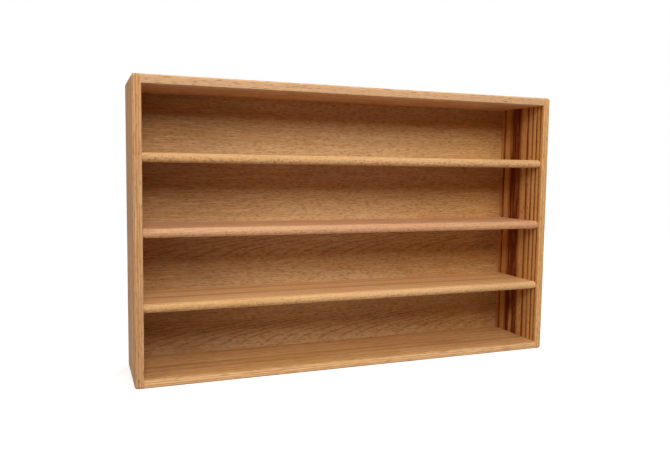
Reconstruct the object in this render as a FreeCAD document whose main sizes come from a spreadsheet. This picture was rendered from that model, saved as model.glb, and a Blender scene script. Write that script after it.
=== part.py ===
import FreeCAD, Part
import os
import Sketcher

# CD storage cabinet: a shallow open-fronted case of solid oak with four equal bays.
# The row frame stands at the middle of the underside: +X to the right, +Y to the rear, +Z up.
# The open front faces -Y. Every size is in millimetres.

doc = FreeCAD.newDocument("CdStorageCabinet")
sizes = doc.addObject("Spreadsheet::Sheet", "Sizes")

SIZES = {
    # Outside of the case: 40 x 25 1/4 x 7 in, divided into four bays of one height.
    "case_width": 1016.0,
    "case_height": 641.35,
    "case_depth": 177.8,
    "bay_count": 4,
    # Boards of 3/4 in, and a back of 1/4 in in a rabbet as deep and as wide as it is thick.
    "board_thickness": 19.05,
    "back_thickness": 6.35,
    "rabbet_width": 6.35,
    # The shelves' noses stand back from the case front, and their ends stand in stopped housings.
    "shelf_setback": 6.35,
    "housing_depth": 6.35,
    "housing_stop": 25.4,
    # Outer corners and edges take a 1/4 in round, and the other edges are eased with sandpaper.
    "outer_round": 6.35,
    "eased_edge": 1.2,
    # Fluted dowels of 3/8 x 1 1/2 in, three in each corner joint.
    "dowel_radius": 4.7625,
    "dowel_length": 38.1,
    "dowel_in_side": 12.7,
    "dowel_inset": 28.575,
    "dowel_relief": 0.8,
    "dowel_chamfer": 1.0,
    "flute_radius": 0.5,
    "flute_count": 10,
    "dowels_per_joint": 3,
    # Brads of 1 in that hold the back, seven across each board and one beside each bay.
    "brad_radius": 0.6,
    "brad_head_radius": 1.0,
    "brad_head_height": 0.8,
    "brad_length": 25.4,
    "brad_spacing": 152.4,
    "brads_across": 7,
    # Keyhole hanger plates, let in flush behind the sides.
    "hanger_radius": 7.9375,
    "hanger_straight": 34.925,
    "hanger_thickness": 1.6,
    "hanger_drop": 50.8,
    "keyhole_radius": 4.75,
    "keyhole_slot_radius": 2.4,
    "keyhole_rise": 8.0,
    "keyhole_pocket_radius": 5.5,
    "keyhole_pocket_depth": 6.35,
    # Screws of the hanger plates, with a right-angled countersink and a cross recess.
    "screw_spread": 36.5,
    "screw_radius": 1.5,
    "screw_head_radius": 3.0,
    "screw_length": 15.875,
    "screw_point": 3.0,
    "cross_width": 0.8,
    "cross_reach": 3.4,
    "cross_depth": 0.9,
}

for row, (alias, value) in enumerate(SIZES.items(), start=1):
    sizes.set(f"A{row}", str(value))
    sizes.setAlias(f"A{row}", alias)
doc.recompute()

# Derived lengths, written once as formulas of the sheet.
THICK = "Sizes.board_thickness"
DEPTH = "Sizes.case_depth"
HEIGHT = "Sizes.case_height"
HALF_WIDTH = "Sizes.case_width / 2"
HALF_THICK = "Sizes.board_thickness / 2"
INNER_WIDTH = "(Sizes.case_width - 2 * Sizes.board_thickness)"
RABBET_INSET = "(Sizes.board_thickness - Sizes.rabbet_width)"
SHELF_PITCH = "((Sizes.case_height - Sizes.board_thickness) / Sizes.bay_count)"
SHELF_LENGTH = f"({INNER_WIDTH} + 2 * Sizes.housing_depth)"
SHELF_DEPTH = "(Sizes.case_depth - Sizes.back_thickness - Sizes.shelf_setback)"
BACK_WIDTH = f"(Sizes.case_width - 2 * {RABBET_INSET})"
BACK_HEIGHT = f"(Sizes.case_height - 2 * {RABBET_INSET})"
DOWEL_ROW = "(Sizes.case_depth - 2 * Sizes.dowel_inset)"
DOWEL_SPACING = f"({DOWEL_ROW} / (Sizes.dowels_per_joint - 1))"
BRAD_ROW = "((Sizes.brads_across - 1) * Sizes.brad_spacing)"
BRAD_IN_BOARD = "(Sizes.brad_length - Sizes.back_thickness)"
BAY_MIDDLE = f"(Sizes.board_thickness + ({SHELF_PITCH} - Sizes.board_thickness) / 2)"
BAY_ROW = f"((Sizes.bay_count - 1) * {SHELF_PITCH})"
SHELF_ROW = f"((Sizes.bay_count - 2) * {SHELF_PITCH})"
HANGER_HEIGHT = "(Sizes.case_height - Sizes.hanger_drop)"

SIDES = {"left": -1, "right": 1}
SHELVES = {"lower": 1, "middle": 2, "upper": 3}
FULL_TURN = 360

# Two places nearer than this are one place, and a cut or copy smaller than this changed nothing.
SAME_PLACE = 0.001
LEAST_CHANGE = 0.01


def size(formula):
    """The present value of a formula of the sheet."""
    return float(sizes.evalExpression(formula))


def new_body(name, x="0", y="0", z="0"):
    """An empty body with its name as its label, placed by three formulas."""
    body = doc.addObject("PartDesign::Body", name)
    body.Label = name
    for axis, formula in (("x", x), ("y", y), ("z", z)):
        body.setExpression(f"Placement.Base.{axis}", formula)
    return body


def origin_feature(body, role):
    """The body's own origin plane or axis of that role."""
    return next(f for f in body.Origin.OriginFeatures if f.Role == role)


def sketch_on(body, name, role, offset="0"):
    """A sketch on one of the body's origin planes, moved along the plane's normal."""
    sketch = body.newObject("Sketcher::SketchObject", f"{body.Name}_{name}")
    sketch.AttachmentSupport = (origin_feature(body, role), [""])
    sketch.MapMode = "FlatFace"
    sketch.setExpression("AttachmentOffset.Base.z", offset)
    doc.recompute()
    return sketch


def dimension(sketch, kind, references, formula):
    """A dimension of the sketch that follows a formula of the sheet."""
    number = sketch.addConstraint(Sketcher.Constraint(kind, *references, size(formula)))
    sketch.setExpression(f"Constraints[{number}]", formula)


def locate(sketch, shape, point, x, y):
    """Pins a point of the sketch at two formulas, or on an axis where the formula is zero."""
    if x == "0":
        sketch.addConstraint(Sketcher.Constraint("PointOnObject", shape, point, -2))
    else:
        dimension(sketch, "DistanceX", (-1, 1, shape, point), x)
    if y == "0":
        sketch.addConstraint(Sketcher.Constraint("PointOnObject", shape, point, -1))
    else:
        dimension(sketch, "DistanceY", (-1, 1, shape, point), y)


def rectangle(sketch, x, y, width, height):
    """A rectangle from its lower left corner."""
    left, low = size(x), size(y)
    right, high = left + size(width), low + size(height)
    corners = [(left, low), (right, low), (right, high), (left, high)]
    points = [FreeCAD.Vector(across, up, 0) for across, up in corners]
    first = sketch.GeometryCount
    for i in range(4):
        sketch.addGeometry(Part.LineSegment(points[i], points[(i + 1) % 4]), False)
    for i in range(4):
        following = first + (i + 1) % 4
        sketch.addConstraint(Sketcher.Constraint("Coincident", first + i, 2, following, 1))
        direction = ("Horizontal", "Vertical")[i % 2]
        sketch.addConstraint(Sketcher.Constraint(direction, first + i))
    locate(sketch, first, 1, x, y)
    dimension(sketch, "DistanceX", (first, 1, first, 2), width)
    dimension(sketch, "DistanceY", (first + 1, 1, first + 1, 2), height)


def circle(sketch, x, y, radius):
    """A circle from its centre."""
    centre = FreeCAD.Vector(size(x), size(y), 0)
    number = sketch.GeometryCount
    sketch.addGeometry(Part.Circle(centre, FreeCAD.Vector(0, 0, 1), size(radius)), False)
    dimension(sketch, "Radius", (number,), radius)
    locate(sketch, number, 3, x, y)


def upright_slot(sketch, x, low, rise, radius):
    """A slot with round ends: the lower end's centre, the rise to the upper one, and their radius."""
    middle, foot, wide = size(x), size(low), size(radius)
    head = foot + size(rise)
    first = sketch.GeometryCount
    for side, start, end in ((1, foot, head), (-1, head, foot)):
        ends = [FreeCAD.Vector(middle + side * wide, y, 0) for y in (start, end)]
        sketch.addGeometry(Part.LineSegment(*ends), False)
    for height, way in ((head, 1), (foot, -1)):
        points = [
            FreeCAD.Vector(middle + way * wide, height, 0),
            FreeCAD.Vector(middle, height + way * wide, 0),
            FreeCAD.Vector(middle - way * wide, height, 0),
        ]
        sketch.addGeometry(Part.Arc(*points), False)
    right, left, upper, lower = range(first, first + 4)
    for one, one_end, other, other_end in (
        (right, 2, upper, 1),
        (upper, 2, left, 1),
        (left, 2, lower, 1),
        (lower, 2, right, 1),
    ):
        sketch.addConstraint(Sketcher.Constraint("Tangent", one, one_end, other, other_end))
    sketch.addConstraint(Sketcher.Constraint("Vertical", right))
    locate(sketch, lower, 3, x, low)
    dimension(sketch, "DistanceY", (lower, 3, upper, 3), rise)
    dimension(sketch, "Radius", (lower,), radius)


def outline(sketch, *formulas):
    """A closed outline of straight lines, each of its points pinned at two formulas."""
    points = [(size(x), size(y)) for x, y in formulas]
    first = sketch.GeometryCount
    count = len(points)
    for i in range(count):
        ends = [FreeCAD.Vector(*points[k], 0) for k in (i, (i + 1) % count)]
        sketch.addGeometry(Part.LineSegment(*ends), False)
    for i in range(count):
        following = first + (i + 1) % count
        sketch.addConstraint(Sketcher.Constraint("Coincident", first + i, 2, following, 1))
    for i, (x, y) in enumerate(formulas):
        locate(sketch, first + i, 1, x, y)


def pad(body, sketch, length):
    """Adds the sketch's profile along its plane's normal."""
    feature = body.newObject("PartDesign::Pad", f"{sketch.Name}_pad")
    feature.Profile = sketch
    feature.setExpression("Length", length)
    doc.recompute()
    return feature


def pocket(body, sketch, depth, along_normal):
    """Cuts the sketch's profile, along its plane's normal or against it, and sees that it cut."""
    before = body.Tip.Shape.Volume
    feature = body.newObject("PartDesign::Pocket", f"{sketch.Name}_cut")
    feature.Profile = sketch
    feature.setExpression("Length", depth)
    feature.Reversed = along_normal
    doc.recompute()
    if feature.Shape.Volume > before - LEAST_CHANGE:
        raise RuntimeError(f"{feature.Name} cuts nothing")
    return feature


def pattern(body, feature, sketch, axis, length, count, axis_2=None, length_2=None, count_2=1):
    """Repeats a feature along one or two of its sketch's axes."""
    before = body.Tip.Shape.Volume
    repeat = body.newObject("PartDesign::LinearPattern", f"{feature.Name}_row")
    repeat.Originals = [feature]
    repeat.Direction = (sketch, [axis])
    repeat.setExpression("Length", length)
    repeat.setExpression("Occurrences", count)
    if axis_2:
        repeat.Direction2 = (sketch, [axis_2])
        repeat.setExpression("Length2", length_2)
        repeat.setExpression("Occurrences2", count_2)
    body.Tip = repeat
    doc.recompute()
    if abs(repeat.Shape.Volume - before) < LEAST_CHANGE:
        raise RuntimeError(f"{repeat.Name} repeats nothing")


def edges_at(shape, along, **places):
    """Names of the straight edges along an axis whose middle has the given coordinates."""
    names = []
    for number, edge in enumerate(shape.Edges, start=1):
        box = edge.BoundBox
        spans = {"x": box.XLength, "y": box.YLength, "z": box.ZLength}
        middle = {"x": box.Center.x, "y": box.Center.y, "z": box.Center.z}
        straight = all(spans[axis] < SAME_PLACE for axis in spans if axis != along)
        there = all(abs(middle[axis] - place) < SAME_PLACE for axis, place in places.items())
        if straight and spans[along] > SAME_PLACE and there:
            names.append(f"Edge{number}")
    return names


def rims_at(shape, radius, y, way):
    """Names of the circular edges of that radius at that depth, below or above the middle."""
    names = []
    for number, edge in enumerate(shape.Edges, start=1):
        box = edge.BoundBox
        alike = all(abs(span / 2 - radius) < SAME_PLACE for span in (box.XLength, box.ZLength))
        if alike and abs(box.Center.y - y) < SAME_PLACE and box.Center.z * way > 0:
            names.append(f"Edge{number}")
    return names


def round_over(body, name, edges, radius):
    """Rounds the named edges of the body as it stands."""
    base = body.Tip
    feature = body.newObject("PartDesign::Fillet", f"{body.Name}_{name}")
    feature.Base = (base, edges)
    feature.setExpression("Radius", radius)
    doc.recompute()


def ease(body, name, edges, width):
    """Takes the sharp arris off the named edges of the body as it stands."""
    base = body.Tip
    feature = body.newObject("PartDesign::Chamfer", f"{body.Name}_{name}")
    feature.Base = (base, edges)
    feature.setExpression("Size", width)
    doc.recompute()


def cut_for_hanger(body, name, x, z, rear):
    """The flat recess of a hanger plate and the deeper pocket for the wall screw's head."""
    sketch = sketch_on(body, f"{name}_recess", "XZ_Plane", f"-({rear})")
    low = f"{z} - Sizes.hanger_straight / 2"
    upright_slot(sketch, x, low, "Sizes.hanger_straight", "Sizes.hanger_radius")
    pocket(body, sketch, "Sizes.hanger_thickness", True)
    sketch = sketch_on(body, f"{name}_head_pocket", "XZ_Plane", f"-({rear})")
    low = f"{z} - Sizes.keyhole_rise / 2"
    upright_slot(sketch, x, low, "Sizes.keyhole_rise", "Sizes.keyhole_pocket_radius")
    pocket(body, sketch, "Sizes.keyhole_pocket_depth", True)


def make_side(name, hand):
    """A side board: y from the front to the rear, z from the floor, inner face towards the middle."""
    inner_face = THICK if hand < 0 else "0"
    into_board = hand > 0
    outer_x = 0.0 if hand < 0 else size(THICK)
    left = f"-{HALF_WIDTH}" if hand < 0 else f"{HALF_WIDTH} - {THICK}"
    body = new_body(f"{name}_side", left, f"-{DEPTH} / 2")

    sketch = sketch_on(body, "face", "YZ_Plane")
    rectangle(sketch, "0", "0", DEPTH, HEIGHT)
    board = pad(body, sketch, THICK)
    top_z = size(HEIGHT)
    rounded = edges_at(board.Shape, "z", x=outer_x, y=0.0)
    for end_z in (0.0, top_z):
        rounded += edges_at(board.Shape, "x", y=0.0, z=end_z)
        rounded += edges_at(board.Shape, "y", x=outer_x, z=end_z)
    round_over(body, "outer_round", rounded, "Sizes.outer_round")

    # The arris at the mouth of the bays is eased between the end boards, and the rear one all along.
    inner_back_x = f"{THICK} - Sizes.eased_edge" if hand < 0 else "Sizes.eased_edge"
    sketch = sketch_on(body, "mouth_arris", "XY_Plane", THICK)
    outline(sketch, (inner_face, "0"), (inner_face, "Sizes.eased_edge"), (inner_back_x, "0"))
    pocket(body, sketch, f"{HEIGHT} - 2 * {THICK}", True)
    outer = "0" if hand < 0 else THICK
    outer_back_x = "Sizes.eased_edge" if hand < 0 else f"{THICK} - Sizes.eased_edge"
    sketch = sketch_on(body, "rear_arris", "XY_Plane")
    outline(sketch, (outer, DEPTH), (outer, f"{DEPTH} - Sizes.eased_edge"), (outer_back_x, DEPTH))
    pocket(body, sketch, HEIGHT, True)

    # Housings for the three shelf ends, open to the rabbet and stopped behind the front.
    sketch = sketch_on(body, "housings", "YZ_Plane", inner_face)
    housing_run = "(Sizes.case_depth - Sizes.back_thickness - Sizes.housing_stop)"
    for number in SHELVES.values():
        rectangle(sketch, "Sizes.housing_stop", f"{number} * {SHELF_PITCH}", housing_run, THICK)
    pocket(body, sketch, "Sizes.housing_depth", into_board)

    # Rabbet for the back panel, stopped at both ends.
    sketch = sketch_on(body, "rabbet", "YZ_Plane", inner_face)
    rabbet_front = "Sizes.case_depth - Sizes.back_thickness"
    rectangle(sketch, rabbet_front, RABBET_INSET, "Sizes.back_thickness", BACK_HEIGHT)
    pocket(body, sketch, "Sizes.rabbet_width", into_board)

    # Dowel holes of the two corner joints.
    sketch = sketch_on(body, "dowel_holes", "YZ_Plane", inner_face)
    circle(sketch, "Sizes.dowel_inset", HALF_THICK, "Sizes.dowel_radius")
    holes = pocket(body, sketch, "Sizes.dowel_in_side + Sizes.dowel_relief", into_board)
    corners_apart = f"{HEIGHT} - {THICK}"
    dowels = "Sizes.dowels_per_joint"
    pattern(body, holes, sketch, "H_Axis", DOWEL_ROW, dowels, "V_Axis", corners_apart, "2")

    # Brad holes in the floor of the rabbet, one beside each bay.
    sketch = sketch_on(body, "brad_holes", "XZ_Plane", f"-({rabbet_front})")
    brad_x = f"{THICK} - Sizes.rabbet_width / 2" if hand < 0 else "Sizes.rabbet_width / 2"
    circle(sketch, brad_x, BAY_MIDDLE, "Sizes.brad_radius")
    holes = pocket(body, sketch, BRAD_IN_BOARD, True)
    pattern(body, holes, sketch, "V_Axis", BAY_ROW, "Sizes.bay_count")

    cut_for_hanger(body, "hanger", HALF_THICK, HANGER_HEIGHT, DEPTH)
    sketch = sketch_on(body, "pilot_holes", "XZ_Plane", f"-{DEPTH}")
    circle(sketch, HALF_THICK, f"{HANGER_HEIGHT} - Sizes.screw_spread / 2", "Sizes.screw_radius")
    holes = pocket(body, sketch, "Sizes.screw_length", True)
    pattern(body, holes, sketch, "V_Axis", "Sizes.screw_spread", "2")


def make_end_board(name, upright):
    """The top or bottom board between the sides: x from the left end, its inner face to the bays."""
    base_z = f"{HEIGHT} - {THICK}" if upright > 0 else "0"
    body = new_body(f"{name}_panel", f"-{INNER_WIDTH} / 2", f"-{DEPTH} / 2", base_z)
    outer_z = size(THICK) if upright > 0 else 0.0
    inner_z = size(THICK) - outer_z

    sketch = sketch_on(body, "face", "XY_Plane")
    rectangle(sketch, "0", "0", INNER_WIDTH, DEPTH)
    board = pad(body, sketch, THICK)
    rounded = edges_at(board.Shape, "x", y=0.0, z=outer_z)
    round_over(body, "outer_round", rounded, "Sizes.outer_round")
    eased = edges_at(body.Tip.Shape, "x", y=0.0, z=inner_z)
    eased += edges_at(body.Tip.Shape, "x", y=size(DEPTH), z=outer_z)
    ease(body, "arrises", eased, "Sizes.eased_edge")

    # Rabbet for the back panel along the inner rear edge.
    rabbet_low = "0" if upright > 0 else RABBET_INSET
    sketch = sketch_on(body, "rabbet", "YZ_Plane")
    rabbet_front = "Sizes.case_depth - Sizes.back_thickness"
    rectangle(sketch, rabbet_front, rabbet_low, "Sizes.back_thickness", "Sizes.rabbet_width")
    pocket(body, sketch, INNER_WIDTH, True)

    # Dowel holes in both ends.
    hole_depth = "Sizes.dowel_length - Sizes.dowel_in_side + Sizes.dowel_relief"
    for end, offset, inwards in (("left", "0", True), ("right", INNER_WIDTH, False)):
        sketch = sketch_on(body, f"{end}_dowel_holes", "YZ_Plane", offset)
        circle(sketch, "Sizes.dowel_inset", HALF_THICK, "Sizes.dowel_radius")
        holes = pocket(body, sketch, hole_depth, inwards)
        pattern(body, holes, sketch, "H_Axis", DOWEL_ROW, "Sizes.dowels_per_joint")

    # Brad holes in the floor of the rabbet.
    brad_z = "Sizes.rabbet_width / 2" if upright > 0 else f"{THICK} - Sizes.rabbet_width / 2"
    sketch = sketch_on(body, "brad_holes", "XZ_Plane", f"-({rabbet_front})")
    circle(sketch, f"({INNER_WIDTH} - {BRAD_ROW}) / 2", brad_z, "Sizes.brad_radius")
    holes = pocket(body, sketch, BRAD_IN_BOARD, True)
    pattern(body, holes, sketch, "H_Axis", BRAD_ROW, "Sizes.brads_across")


def nose_profile(sketch):
    """A shelf's section: square at the rear and a half round at the front."""
    half, deep = size(HALF_THICK), size(SHELF_DEPTH)
    full = 2 * half
    floor_line = (FreeCAD.Vector(half, 0, 0), FreeCAD.Vector(deep, 0, 0))
    rear_line = (FreeCAD.Vector(deep, 0, 0), FreeCAD.Vector(deep, full, 0))
    top_line = (FreeCAD.Vector(deep, full, 0), FreeCAD.Vector(half, full, 0))
    nose = (FreeCAD.Vector(half, full, 0), FreeCAD.Vector(0, half, 0), FreeCAD.Vector(half, 0, 0))
    for line in (floor_line, rear_line, top_line):
        sketch.addGeometry(Part.LineSegment(*line), False)
    sketch.addGeometry(Part.Arc(*nose), False)
    for one, other in ((0, 1), (1, 2)):
        sketch.addConstraint(Sketcher.Constraint("Coincident", one, 2, other, 1))
    for one, other in ((2, 3), (3, 0)):
        sketch.addConstraint(Sketcher.Constraint("Tangent", one, 2, other, 1))
    sketch.addConstraint(Sketcher.Constraint("Horizontal", 0))
    sketch.addConstraint(Sketcher.Constraint("Vertical", 1))
    locate(sketch, 0, 2, SHELF_DEPTH, "0")
    dimension(sketch, "DistanceX", (-1, 1, 3, 3), HALF_THICK)
    dimension(sketch, "Radius", (3,), HALF_THICK)


def make_shelf(name, number):
    """A shelf: x from its left end in the housing, y from the tip of its nose to the back panel."""
    front = f"-{DEPTH} / 2 + Sizes.shelf_setback"
    body = new_body(f"shelf_{name}", f"-{SHELF_LENGTH} / 2", front, f"{number} * {SHELF_PITCH}")
    sketch = sketch_on(body, "section", "YZ_Plane")
    nose_profile(sketch)
    pad(body, sketch, SHELF_LENGTH)

    # The front corners are notched, so that the nose covers the stopped ends of the housings.
    sketch = sketch_on(body, "notches", "XY_Plane")
    notch_run = "Sizes.housing_stop - Sizes.shelf_setback"
    for x in ("0", f"{SHELF_LENGTH} - Sizes.housing_depth"):
        rectangle(sketch, x, "0", "Sizes.housing_depth", notch_run)
    pocket(body, sketch, THICK, True)

    # Brad holes in the rear edge.
    sketch = sketch_on(body, "brad_holes", "XZ_Plane", f"-{SHELF_DEPTH}")
    circle(sketch, f"({SHELF_LENGTH} - {BRAD_ROW}) / 2", HALF_THICK, "Sizes.brad_radius")
    holes = pocket(body, sketch, BRAD_IN_BOARD, True)
    pattern(body, holes, sketch, "H_Axis", BRAD_ROW, "Sizes.brads_across")


# Rows of brads in the back panel's own frame: first x, first z, run across, how many, run up, how many.
LEDGE_BRADS = (
    f"({BACK_WIDTH} - {BRAD_ROW}) / 2",
    "Sizes.rabbet_width / 2",
    BRAD_ROW,
    "Sizes.brads_across",
    f"{BACK_HEIGHT} - Sizes.rabbet_width",
    "2",
)
SHELF_BRADS = (
    f"({BACK_WIDTH} - {BRAD_ROW}) / 2",
    f"{SHELF_PITCH} + {HALF_THICK} - {RABBET_INSET}",
    BRAD_ROW,
    "Sizes.brads_across",
    SHELF_ROW,
    "Sizes.bay_count - 1",
)
SIDE_BRADS = (
    "Sizes.rabbet_width / 2",
    f"{BAY_MIDDLE} - {RABBET_INSET}",
    f"{BACK_WIDTH} - Sizes.rabbet_width",
    "2",
    BAY_ROW,
    "Sizes.bay_count",
)
BRAD_ROWS = {"ledge": LEDGE_BRADS, "shelf": SHELF_BRADS, "side": SIDE_BRADS}


def make_back_panel():
    """The thin rear panel: x and z from its lower left corner, y from its inner face."""
    front = f"{DEPTH} / 2 - Sizes.back_thickness"
    body = new_body("back_panel", f"-{BACK_WIDTH} / 2", front, RABBET_INSET)
    sketch = sketch_on(body, "face", "XY_Plane")
    rectangle(sketch, "0", "0", BACK_WIDTH, "Sizes.back_thickness")
    pad(body, sketch, BACK_HEIGHT)
    rear = "Sizes.back_thickness"
    for rows, (x, z, across, count, up, levels) in BRAD_ROWS.items():
        for part, radius, depth in (
            ("shank", "Sizes.brad_radius", rear),
            ("head", "Sizes.brad_head_radius", "Sizes.brad_head_height"),
        ):
            sketch = sketch_on(body, f"{rows}_{part}_holes", "XZ_Plane", f"-{rear}")
            circle(sketch, x, z, radius)
            holes = pocket(body, sketch, depth, True)
            pattern(body, holes, sketch, "H_Axis", across, count, "V_Axis", up, levels)
    from_edge = f"({HALF_THICK} - {RABBET_INSET})"
    for side, x in (("left", from_edge), ("right", f"{BACK_WIDTH} - {from_edge}")):
        cut_for_hanger(body, side, x, f"{HANGER_HEIGHT} - {RABBET_INSET}", rear)


def make_brads():
    """All the brads, alike, as one group of separate solids in the back panel's frame."""
    rear = f"{DEPTH} / 2"
    body = new_body("back_panel_brads", f"-{BACK_WIDTH} / 2", rear, RABBET_INSET)
    body.AllowCompound = True
    for rows, (x, z, across, count, up, levels) in BRAD_ROWS.items():
        for part, radius, length in (
            ("shank", "Sizes.brad_radius", "Sizes.brad_length"),
            ("head", "Sizes.brad_head_radius", "Sizes.brad_head_height"),
        ):
            sketch = sketch_on(body, f"{rows}_{part}", "XZ_Plane")
            circle(sketch, x, z, radius)
            stem = pad(body, sketch, length)
            pattern(body, stem, sketch, "H_Axis", across, count, "V_Axis", up, levels)


def make_dowel(name, x, y, z):
    """A fluted dowel along +X with chamfered ends."""
    body = new_body(name, x, y, z)
    sketch = sketch_on(body, "section", "YZ_Plane")
    circle(sketch, "0", "0", "Sizes.dowel_radius")
    stem = pad(body, sketch, "Sizes.dowel_length")
    ends = [f"Edge{n}" for n, e in enumerate(stem.Shape.Edges, start=1) if e.isClosed()]
    ease(body, "ends", ends, "Sizes.dowel_chamfer")
    sketch = sketch_on(body, "flute", "YZ_Plane")
    circle(sketch, "Sizes.dowel_radius", "0", "Sizes.flute_radius")
    flute = pocket(body, sketch, "Sizes.dowel_length", True)
    repeat = body.newObject("PartDesign::PolarPattern", f"{name}_flutes")
    repeat.Originals = [flute]
    repeat.Axis = (origin_feature(body, "X_Axis"), [""])
    repeat.Angle = FULL_TURN
    repeat.setExpression("Occurrences", "Sizes.flute_count")
    body.Tip = repeat
    doc.recompute()


def make_hanger(name, hand):
    """A keyhole plate: x and z from its middle, and its rear face, flush with the case, at y = 0."""
    x = f"{hand} * ({HALF_WIDTH} - {HALF_THICK})"
    body = new_body(f"hanger_plate_{name}", x, f"{DEPTH} / 2", HANGER_HEIGHT)
    sketch = sketch_on(body, "outline", "XZ_Plane")
    low = "-Sizes.hanger_straight / 2"
    upright_slot(sketch, "0", low, "Sizes.hanger_straight", "Sizes.hanger_radius")
    pad(body, sketch, "Sizes.hanger_thickness")
    foot = "-Sizes.keyhole_rise / 2"
    sketch = sketch_on(body, "keyhole", "XZ_Plane")
    circle(sketch, "0", foot, "Sizes.keyhole_radius")
    pocket(body, sketch, "Sizes.hanger_thickness", True)
    sketch = sketch_on(body, "keyhole_slot", "XZ_Plane")
    upright_slot(sketch, "0", foot, "Sizes.keyhole_rise", "Sizes.keyhole_slot_radius")
    pocket(body, sketch, "Sizes.hanger_thickness", True)
    for place, way in (("lower", -1), ("upper", 1)):
        sketch = sketch_on(body, f"{place}_screw_hole", "XZ_Plane")
        circle(sketch, "0", f"{way} * Sizes.screw_spread / 2", "Sizes.screw_radius")
        hole = pocket(body, sketch, "Sizes.hanger_thickness", True)
        mouth = rims_at(hole.Shape, size("Sizes.screw_radius"), 0.0, way)
        ease(body, f"{place}_countersink", mouth, "Sizes.screw_head_radius - Sizes.screw_radius")


def make_screw(name, hand, way):
    """A countersunk wood screw driven forward from the rear face, turned from its half section."""
    x = f"{hand} * ({HALF_WIDTH} - {HALF_THICK})"
    z = f"{HANGER_HEIGHT} + {way} * Sizes.screw_spread / 2"
    body = new_body(name, x, f"{DEPTH} / 2", z)
    sketch = sketch_on(body, "half_section", "XY_Plane")
    cone = "Sizes.screw_head_radius - Sizes.screw_radius"
    half_section = (
        ("0", "0"),
        ("Sizes.screw_head_radius", "0"),
        ("Sizes.screw_radius", f"-({cone})"),
        ("Sizes.screw_radius", "-(Sizes.screw_length - Sizes.screw_point)"),
        ("0", "-Sizes.screw_length"),
    )
    outline(sketch, *half_section)
    turned = body.newObject("PartDesign::Revolution", f"{name}_turned")
    turned.Profile = sketch
    turned.ReferenceAxis = (origin_feature(body, "Y_Axis"), [""])
    turned.Angle = FULL_TURN
    doc.recompute()
    sketch = sketch_on(body, "cross", "XZ_Plane")
    narrow = "Sizes.cross_width"
    wide = "Sizes.cross_reach"
    rectangle(sketch, f"-{wide} / 2", f"-{narrow} / 2", wide, narrow)
    pocket(body, sketch, "Sizes.cross_depth", True)
    sketch = sketch_on(body, "cross_upright", "XZ_Plane")
    rectangle(sketch, f"-{narrow} / 2", f"-{wide} / 2", narrow, wide)
    pocket(body, sketch, "Sizes.cross_depth", True)


for side, hand in SIDES.items():
    make_side(side, hand)
make_end_board("top", 1)
make_end_board("bottom", -1)
for place, number in SHELVES.items():
    make_shelf(place, number)
make_back_panel()
make_brads()

# Each dowel starts in the left side board, or in the end board where that joins the right side.
DOWEL_START = {-1: "Sizes.dowel_in_side", 1: "(Sizes.dowel_length - Sizes.dowel_in_side)"}
for end, upright in (("top", 1), ("bottom", 0)):
    for side, hand in SIDES.items():
        for number, place in enumerate(("front", "middle", "rear")):
            x = f"{hand} * ({HALF_WIDTH} - {THICK}) - {DOWEL_START[hand]}"
            y = f"-{DEPTH} / 2 + Sizes.dowel_inset + {number} * {DOWEL_SPACING}"
            z = f"{HALF_THICK} + {upright} * ({HEIGHT} - {THICK})"
            make_dowel(f"dowel_{end}_{side}_{place}", x, y, z)
for side, hand in SIDES.items():
    make_hanger(side, hand)
    for place, way in (("lower", -1), ("upper", 1)):
        make_screw(f"hanger_screw_{side}_{place}", hand, way)

doc.recompute()
bodies = [o for o in doc.Objects if o.TypeId == "PartDesign::Body"]
for entry in doc.Objects:
    if "Invalid" in entry.State or "Error" in entry.State:
        raise RuntimeError(f"{entry.Name} failed: {entry.State}")
for body in bodies:
    if body.Shape.isNull() or not body.Shape.isValid():
        raise RuntimeError(f"{body.Label} has no valid shape")

os.makedirs("parts", exist_ok=True)
for body in bodies:
    body.Shape.exportStep(f"parts/{body.Label}.step")
    box = body.Shape.BoundBox
    print(
        f"{body.Label}: {len(body.Shape.Solids)} solid, {body.Shape.Volume:.0f} mm3,"
        f" x {box.XMin:.2f} to {box.XMax:.2f}, y {box.YMin:.2f} to {box.YMax:.2f},"
        f" z {box.ZMin:.2f} to {box.ZMax:.2f}"
    )
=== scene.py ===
# %% [markdown]
# # A CD storage cabinet of oak
# The cabinet is made of eight boards: two sides, a top and a bottom between them, three shelves with
# rounded noses and a thin back. The imported model brings every board at its real size, so this lesson is
# about what a modeller adds afterwards: the growth of the wood, its lacquer, the plated metal at the
# rear, the camera and the light.
#
# We load the model first and move every part's place into its own mesh, so that a part's box can be read
# from its points.

# %% Load the imported cabinet
import math

import bpy
from mathutils import Matrix, Vector


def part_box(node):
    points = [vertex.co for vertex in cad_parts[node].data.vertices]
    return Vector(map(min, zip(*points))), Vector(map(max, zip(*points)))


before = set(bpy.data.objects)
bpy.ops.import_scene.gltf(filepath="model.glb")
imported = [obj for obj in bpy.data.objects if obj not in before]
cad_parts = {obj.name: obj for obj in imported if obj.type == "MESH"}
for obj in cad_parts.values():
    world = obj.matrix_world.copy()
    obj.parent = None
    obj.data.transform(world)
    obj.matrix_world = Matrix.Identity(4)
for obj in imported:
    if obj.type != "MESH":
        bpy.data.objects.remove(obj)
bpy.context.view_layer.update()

# %% [markdown]
# # The camera
# The photograph was taken from the cabinet's front left, with a lens a little shorter than a camera's
# normal one. A focal length in pixels, a position and three angles say all of it: yaw turns the view to
# the right, pitch tips it down and roll leans it. The lens of a real camera is seldom centred on the
# cropped picture, so the middle of the lens is kept as a point of the picture and becomes the shift.
#
# Blender's camera looks along its own -Z, so the matrix is built from three unit vectors: right, up and
# backwards. That is easier to trust than guessing Euler angles.

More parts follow.
